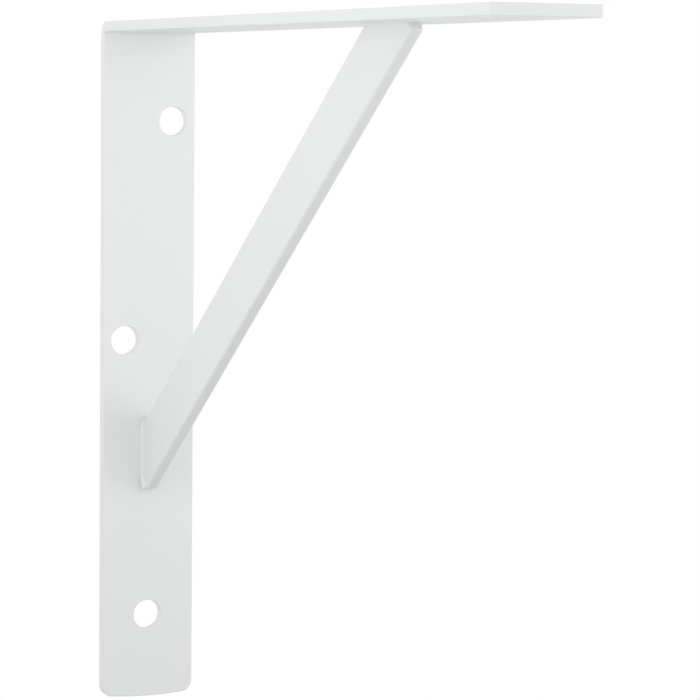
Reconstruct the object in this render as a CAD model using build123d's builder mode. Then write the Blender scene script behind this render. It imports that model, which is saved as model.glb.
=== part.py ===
from math import cos, radians, sin, tan
import os

from build123d import *

os.makedirs("parts", exist_ok=True)

# Driving dimensions, in millimetres and degrees.
# X runs out from the wall, Y across the strip, Z up; the wall face is X = 0, centred on the leg.
strip_width = 28.5
gauge = 3.0
leg_height = 200.0
arm_length = 250.0
bend_inside_radius = 1.2
leg_corner_radius = 3.5
leg_end_bow = 0.8
hole_diameter = 8.6
hole_side_step = 7.4
first_hole_distance = 28.9
leg_middle_hole_distance = 93.4
arm_middle_hole_distance = 116.75
end_hole_inset = 24.6
brace_width = 17.6
brace_thickness = 3.5
brace_angle = 36.7
brace_reach = 157.0
foot_seat_length = 16.6
foot_corner_radius = 3.2
heel_radius = 1.2
tip_cut = 2.4
weld_leg = 0.85
weld_lap = 4.0

# Worked out from the driving dimensions.
bend_outside_radius = bend_inside_radius + gauge
strip_edge_radius = 0.13 * gauge
arm_corner_radius = 0.3 * gauge
hole_rim_chamfer = 0.07 * gauge
brace_edge_radius = 0.22 * brace_thickness
brace_corner_radius = 0.24 * brace_thickness
shelf_level = leg_height / 2
leg_end = -leg_height / 2
underside = shelf_level - gauge

# The screw holes zigzag past the brace, then come back to the middle beyond it.
# Both limbs carry the same kind of row, counted from the corner of the bend.
hole_sides = (hole_side_step, -hole_side_step, 0.0)
leg_rows = (first_hole_distance, leg_middle_hole_distance, leg_height - end_hole_inset)
arm_rows = (first_hole_distance, arm_middle_hole_distance, arm_length - end_hole_inset)
leg_holes = [(side, shelf_level - distance) for side, distance in zip(hole_sides, leg_rows)]
arm_holes = [(distance, side) for side, distance in zip(hole_sides, arm_rows)]

# The brace's long edges, where they meet the arm's underside and the leg's face.
lean = radians(brace_angle)
brace_back = brace_reach
brace_front = brace_back + brace_width / sin(lean)
foot_top = underside - (brace_back - gauge) * tan(lean)

# The foot sits on the leg along its upper part, and the bar's own square end shows below that.
# The tip under the arm is cut square in the same way, which leaves a small gap at its front.
seat_end = foot_top - foot_seat_length
square_cut = brace_width - foot_seat_length * cos(lean)
heel = (gauge + square_cut * sin(lean), seat_end - square_cut * cos(lean))
seat_front = brace_front - tip_cut / sin(lean)
tip = (seat_front + tip_cut * sin(lean), underside - tip_cut * cos(lean))

# The foot's weld rim lies a hair back from the bar's end, and slopes down into its two faces.
# It begins a little way up the brace's upper edge and fades out on the heel.
rim_setback = 0.12 * weld_leg
rim_root = 0.3 * weld_leg
rim_corner = (gauge + rim_setback, foot_top + rim_setback * (tan(lean) - 1 / cos(lean)))
rim_knee = (gauge + rim_setback, seat_end + rim_setback * (1 - cos(lean)) / sin(lean))
rim_run = square_cut - heel_radius / 2
rim_start = (rim_corner[0] + weld_lap * cos(lean), rim_corner[1] + weld_lap * sin(lean))
rim_finish = (rim_knee[0] + rim_run * sin(lean), rim_knee[1] - rim_run * cos(lean))

# Flat strip folded once into the leg and the arm.
with BuildPart() as angle_strip:
    with BuildSketch(Plane.XZ) as strip_profile:
        with BuildLine():
            Polyline(
                (0, leg_end),
                (0, shelf_level),
                (arm_length, shelf_level),
                (arm_length, underside),
                (gauge, underside),
                (gauge, leg_end),
                close=True,
            )
        make_face()
        fillet(strip_profile.vertices().sort_by_distance((0, shelf_level))[0], bend_outside_radius)
        fillet(strip_profile.vertices().sort_by_distance((gauge, underside))[0], bend_inside_radius)
    extrude(amount=strip_width / 2, both=True)
    # The leg's free end is cut to a shallow bow with well rounded corners. The arm's end is all but square.
    with BuildSketch(Plane.YZ):
        with BuildLine():
            ThreePointArc(
                (-strip_width / 2, leg_end + leg_end_bow), (0, leg_end), (strip_width / 2, leg_end + leg_end_bow)
            )
            Polyline(
                (strip_width / 2, leg_end + leg_end_bow),
                (strip_width / 2, leg_end - leg_end_bow),
                (-strip_width / 2, leg_end - leg_end_bow),
                (-strip_width / 2, leg_end + leg_end_bow),
            )
        make_face()
    extrude(amount=gauge, mode=Mode.SUBTRACT)
    fillet(angle_strip.edges().filter_by(Axis.X).group_by(Axis.Z)[0], leg_corner_radius)
    fillet(angle_strip.edges().filter_by(Axis.Z).group_by(Axis.X)[-1], arm_corner_radius)
    # Only the outlines of the two broad faces are eased, not the lines where a curve runs into a flat.
    outline = angle_strip.edges().filter_by(
        lambda edge: abs(edge.length - gauge) > 0.01 and abs(edge.length - strip_width) > 0.01
    )
    fillet(outline, strip_edge_radius)
    with BuildSketch(Plane.YZ):
        with Locations(*leg_holes):
            Circle(hole_diameter / 2)
    extrude(amount=gauge, mode=Mode.SUBTRACT)
    with BuildSketch(Plane.XY.offset(shelf_level)):
        with Locations(*arm_holes):
            Circle(hole_diameter / 2)
    extrude(amount=-gauge, mode=Mode.SUBTRACT)
    rims = angle_strip.edges().filter_by(GeomType.CIRCLE).filter_by(
        lambda edge: abs(edge.radius - hole_diameter / 2) < 0.001
    )
    chamfer(rims, hole_rim_chamfer)

angle_strip.part.label = "angle_strip"
export_step(angle_strip.part, "parts/angle_strip.step")

# Flat bar on edge across the corner, its ends cut to the leg and the arm and welded there.
with BuildPart() as diagonal_brace:
    with BuildSketch(Plane.XZ) as brace_profile:
        with BuildLine():
            Polyline(
                (gauge, foot_top),
                (gauge, seat_end),
                heel,
                tip,
                (seat_front, underside),
                (brace_back, underside),
                close=True,
            )
        make_face()
        for corner, radius in (
            ((gauge, foot_top), foot_corner_radius),
            ((gauge, seat_end), foot_corner_radius),
            (heel, heel_radius),
            (tip, brace_corner_radius),
            ((brace_back, underside), brace_corner_radius),
        ):
            fillet(brace_profile.vertices().sort_by_distance((*corner, 0))[0], radius)
    extrude(amount=brace_thickness / 2, both=True)
    fillet(diagonal_brace.faces().filter_by(Axis.Y).edges(), brace_edge_radius)
    # At both seats the weld flares the bar out on its two faces. On the foot it also follows the corners.
    foot_seat = diagonal_brace.faces().filter_by(Axis.X).sort_by(Axis.X)[0].bounding_box()
    arm_seat = diagonal_brace.faces().filter_by(Axis.Z).sort_by(Axis.Z)[-1].bounding_box()
    with BuildLine(Plane.XZ) as corner_weld:
        FilletPolyline(rim_start, rim_corner, rim_knee, rim_finish, radius=foot_corner_radius - rim_setback)
    with BuildLine(Plane.XZ) as foot_weld:
        Line((gauge, foot_seat.max.Z), (gauge, foot_seat.min.Z))
    with BuildLine(Plane.XZ) as arm_weld:
        Line((arm_seat.min.X, underside), (arm_seat.max.X, underside))
    for rim, into_the_bar in (
        (corner_weld, (sin(lean), 0, -cos(lean))),
        (foot_weld, (1, 0, 0)),
        (arm_weld, (0, 0, -1)),
    ):
        with BuildSketch(Plane(origin=rim.line @ 0, x_dir=into_the_bar, z_dir=rim.line % 0)):
            with BuildLine():
                Polyline(
                    (0, -brace_thickness / 2 - weld_leg),
                    (weld_leg + rim_root, rim_root - brace_thickness / 2),
                    (weld_leg + rim_root, brace_thickness / 2 - rim_root),
                    (0, brace_thickness / 2 + weld_leg),
                    close=True,
                )
            make_face()
        sweep(path=rim.line)

diagonal_brace.part.label = "diagonal_brace"
export_step(diagonal_brace.part, "parts/diagonal_brace.step")
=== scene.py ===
import math

import bpy
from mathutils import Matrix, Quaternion, Vector


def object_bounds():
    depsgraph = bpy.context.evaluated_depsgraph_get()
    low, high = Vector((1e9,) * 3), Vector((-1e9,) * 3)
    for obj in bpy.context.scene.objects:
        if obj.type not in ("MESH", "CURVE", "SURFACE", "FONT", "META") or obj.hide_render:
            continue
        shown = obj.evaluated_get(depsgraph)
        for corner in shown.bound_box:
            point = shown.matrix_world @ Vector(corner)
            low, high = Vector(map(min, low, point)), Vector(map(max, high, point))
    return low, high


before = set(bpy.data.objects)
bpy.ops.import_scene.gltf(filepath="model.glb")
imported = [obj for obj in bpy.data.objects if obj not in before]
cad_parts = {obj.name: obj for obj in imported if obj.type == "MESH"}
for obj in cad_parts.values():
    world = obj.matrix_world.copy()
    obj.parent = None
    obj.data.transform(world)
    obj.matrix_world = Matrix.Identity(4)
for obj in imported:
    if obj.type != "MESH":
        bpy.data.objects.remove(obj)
cad_low, cad_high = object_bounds()

MILLIMETRE = 0.001
WHITE = "#ffffff"
middle = (cad_low + cad_high) / 2


def linear(hex_colour):
    """A written sRGB colour as the linear values that a shader takes."""
    channels = [int(hex_colour[i : i + 2], 16) / 255 for i in (1, 3, 5)]
    return [c / 12.92 if c <= 0.04045 else ((c + 0.055) / 1.055) ** 2.4 for c in channels] + [1.0]


def add_node(tree, kind, values=(), **settings):
    """Adds a node. values pairs a socket with what it gets: another node's output, or a constant."""
    node = tree.nodes.new(kind)
    for name, setting in settings.items():
        setattr(node, name, setting)
    for socket, value in dict(values).items():
        if isinstance(value, bpy.types.NodeSocket):
            tree.links.new(value, node.inputs[socket])
        else:
            node.inputs[socket].default_value = value
    return node


def rays_that_show(tree):
    """1 for rays that show a thing to the eye, straight, mirrored or through glass, and 0 for the others."""
    rays = add_node(tree, "ShaderNodeLightPath").outputs
    shows = rays["Is Camera Ray"]
    for kind in ("Is Glossy Ray", "Is Transmission Ray"):
        shows = add_node(tree, "ShaderNodeMath", {0: shows, 1: rays[kind]}, operation="MAXIMUM").outputs[0]
    return shows


def white_powder_coat():
    """White polyester powder coat, sprayed on steel and melted in an oven.

    It gives the eye an even, faintly cool white with a soft sheen. The melt leaves a shallow ripple,
    and the coat lies a little thicker in some places than in others.
    """
    thin_colour = "#eceeef"
    thick_colour = "#f1f2f2"
    thin_roughness = 0.36
    thick_roughness = 0.44
    polyester_ior = 1.5
    patch_width = 40 * MILLIMETRE
    ripple_width = 2.4 * MILLIMETRE
    ripple_height = 0.02 * MILLIMETRE
    # Real grit is about 0.1 mm. It is drawn coarser, because that would not show in the picture.
    grit_width = 0.5 * MILLIMETRE
    grit_height = 0.003 * MILLIMETRE
    # Each pattern has a width, a number of finer layers, and the weight of those layers.
    patterns = ((patch_width, 2.0, 0.5), (ripple_width, 1.0, 0.4), (grit_width, 2.0, 0.6))
    # Nearly all of the patch pattern lies between these two values.
    patch_low = 0.3
    patch_high = 0.7

    coat = bpy.data.materials.new("white_polyester_powder_coat_on_steel")
    coat.use_nodes = True
    tree = coat.node_tree
    tree.nodes.clear()
    place = add_node(tree, "ShaderNodeTexCoord").outputs["Object"]
    patches, ripple, grit = [
        add_node(
            tree,
            "ShaderNodeTexNoise",
            {"Vector": place, "Scale": 1 / width, "Detail": layers, "Roughness": weight},
        ).outputs["Fac"]
        for width, layers, weight in patterns
    ]
    # A Mix node's colour sockets share their names with its number sockets, so they go by place.
    factor, thin, thick, blend = 0, 6, 7, 2
    tint = add_node(
        tree,
        "ShaderNodeMix",
        {factor: patches, thin: linear(thin_colour), thick: linear(thick_colour)},
        data_type="RGBA",
    ).outputs[blend]
    roughness = add_node(
        tree,
        "ShaderNodeMapRange",
        {
            "Value": patches,
            "From Min": patch_low,
            "From Max": patch_high,
            "To Min": thin_roughness,
            "To Max": thick_roughness,
        },
    ).outputs["Result"]
    grit_bump = add_node(
        tree, "ShaderNodeBump", {"Height": grit, "Strength": 1.0, "Distance": grit_height}
    ).outputs["Normal"]
    ripple_bump = add_node(
        tree,
        "ShaderNodeBump",
        {"Height": ripple, "Strength": 1.0, "Distance": ripple_height, "Normal": grit_bump},
    ).outputs["Normal"]
    surface = add_node(
        tree,
        "ShaderNodeBsdfPrincipled",
        {
            "Base Color": tint,
            "Roughness": roughness,
            "IOR": polyester_ior,
            "Metallic": 0.0,
            "Normal": ripple_bump,
        },
    ).outputs["BSDF"]
    add_node(tree, "ShaderNodeOutputMaterial", {"Surface": surface})
    return coat


def pale_floor():
    """A matt table a little below the bracket. It looks white, but sends back less light than the tent."""
    # Lengths are in metres. Tones and lifts are shares of white.
    drop = 0.12
    half_side = 0.35
    shadow_reach = 0.20
    seen_tone = 0.97
    sent_back_tone = 0.56
    middle_lift = 0.19
    rim_lift = 0.40

    floor_middle = Vector((middle.x, middle.y, cad_low.z - drop))
    corner_signs = ((-1, -1), (1, -1), (1, 1), (-1, 1))
    corners = [floor_middle + half_side * Vector((x, y, 0)) for x, y in corner_signs]
    mesh = bpy.data.meshes.new("floor")
    mesh.from_pydata(corners, [], [(0, 1, 2, 3)])
    floor = bpy.data.objects.new("floor", mesh)
    bpy.context.scene.collection.objects.link(floor)

    paint = bpy.data.materials.new("matt_white_table")
    paint.use_nodes = True
    tree = paint.node_tree
    tree.nodes.clear()
    seen = rays_that_show(tree)
    tone = add_node(
        tree, "ShaderNodeMapRange", {"Value": seen, "To Min": sent_back_tone, "To Max": seen_tone}
    ).outputs["Result"]
    matt = add_node(tree, "ShaderNodeBsdfDiffuse", {"Color": tone}).outputs["BSDF"]
    # The light leaves the table short of white, and a glow makes it up: just enough under the bracket,
    # where the shadow lies, and more towards the rim, so that the rim does not show.
    spot = add_node(tree, "ShaderNodeNewGeometry").outputs["Position"]
    from_middle = add_node(
        tree, "ShaderNodeVectorMath", {0: spot, 1: floor_middle}, operation="DISTANCE"
    ).outputs["Value"]
    lift = add_node(
        tree,
        "ShaderNodeMapRange",
        {
            "Value": from_middle,
            "From Min": shadow_reach,
            "From Max": half_side,
            "To Min": middle_lift,
            "To Max": rim_lift,
        },
    ).outputs["Result"]
    seen_lift = add_node(tree, "ShaderNodeMath", {0: lift, 1: seen}, operation="MULTIPLY").outputs[0]
    glow = add_node(
        tree, "ShaderNodeEmission", {"Color": linear(WHITE), "Strength": seen_lift}
    ).outputs["Emission"]
    surface = add_node(tree, "ShaderNodeAddShader", {0: matt, 1: glow}).outputs["Shader"]
    add_node(tree, "ShaderNodeOutputMaterial", {"Surface": surface})
    mesh.materials.append(paint)
    return floor


def studio_light():
    """A white tent all round, a small soft lamp close on each side, one above, and a wide one in front."""
    # The tent looks white at a strength of 1. Its light is dimmer overhead, so the arm takes little
    # of it from the leg and the brace below.
    seen_strength = 1.0
    side_strength = 0.96
    roof_strength = 0.60
    # Each lamp has a place and a point it faces, both from the bracket's middle, a width, and its watts.
    # Lengths are in metres.
    # The left one stands beside the arm's outer half, so left faces grow darker towards the wall.
    # The right and front ones stand to the right, so the brace throws a soft shade on the leg to its left.
    # The top one makes up for the dim roof on the shelf face, and throws the shadow on the table.
    lamps = (
        ("left_lamp", (0.075, -0.26, 0.08), (-0.025, 0.0, 0.04), 0.20, 0.100),
        ("right_lamp", (0.125, 0.22, 0.10), (-0.125, 0.0, 0.03), 0.20, 0.104),
        ("front_lamp", (0.725, 0.45, 0.31), (-0.125, 0.0, 0.06), 0.60, 0.38),
        ("top_lamp", (0.0, 0.0, 0.60), (0.0, 0.0, 0.10), 0.16, 0.30),
    )

    world = bpy.data.worlds.new("white_tent")
    bpy.context.scene.world = world
    world.use_nodes = True
    tree = world.node_tree
    tree.nodes.clear()
    direction = add_node(tree, "ShaderNodeTexCoord").outputs["Generated"]
    upward = add_node(tree, "ShaderNodeSeparateXYZ", {"Vector": direction}).outputs["Z"]
    light = add_node(
        tree, "ShaderNodeMapRange", {"Value": upward, "To Min": side_strength, "To Max": roof_strength}
    ).outputs["Result"]
    strength = add_node(
        tree, "ShaderNodeMapRange", {"Value": rays_that_show(tree), "To Min": light, "To Max": seen_strength}
    ).outputs["Result"]
    tent = add_node(
        tree, "ShaderNodeBackground", {"Color": linear(WHITE), "Strength": strength}
    ).outputs["Background"]
    add_node(tree, "ShaderNodeOutputWorld", {"Surface": tent})

    for name, place, faces, width, watts in lamps:
        lamp = bpy.data.lights.new(name, "AREA")
        lamp.shape = "DISK"
        lamp.size = width
        lamp.energy = watts
        lamp_object = bpy.data.objects.new(name, lamp)
        lamp_object.location = middle + Vector(place)
        lamp_object.rotation_mode = "QUATERNION"
        lamp_object.rotation_quaternion = (Vector(faces) - Vector(place)).to_track_quat("-Z", "Y")
        lamp_object.visible_camera = False
        bpy.context.scene.collection.objects.link(lamp_object)


def photo_camera():
    """The camera in front, to the left of the arm and just below its level, looking back at the wall leg."""
    frame_width_pixels = 700
    # These were fitted to the edges, corners and hole outlines in the photo.
    focal_pixels = 3062.6
    turn = math.radians(24.5)
    tilt = math.radians(-4.78)
    roll = math.radians(-0.58)
    place = Vector((848.98, -320.11, 79.63)) * MILLIMETRE

    camera_data = bpy.data.cameras.new("photo_camera")
    camera_data.lens = focal_pixels / frame_width_pixels * camera_data.sensor_width
    camera = bpy.data.objects.new("photo_camera", camera_data)
    ahead = Vector((-math.cos(tilt) * math.cos(turn), math.cos(tilt) * math.sin(turn), math.sin(tilt)))
    camera.location = place
    camera.rotation_mode = "QUATERNION"
    camera.rotation_quaternion = ahead.to_track_quat("-Z", "Y") @ Quaternion((0, 0, 1), -roll)
    bpy.context.scene.collection.objects.link(camera)
    bpy.context.scene.camera = camera


coat = white_powder_coat()
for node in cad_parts.values():
    for slot in node.material_slots:
        slot.material = coat

pale_floor()
studio_light()
photo_camera()
bpy.context.scene.view_settings.view_transform = "Standard"
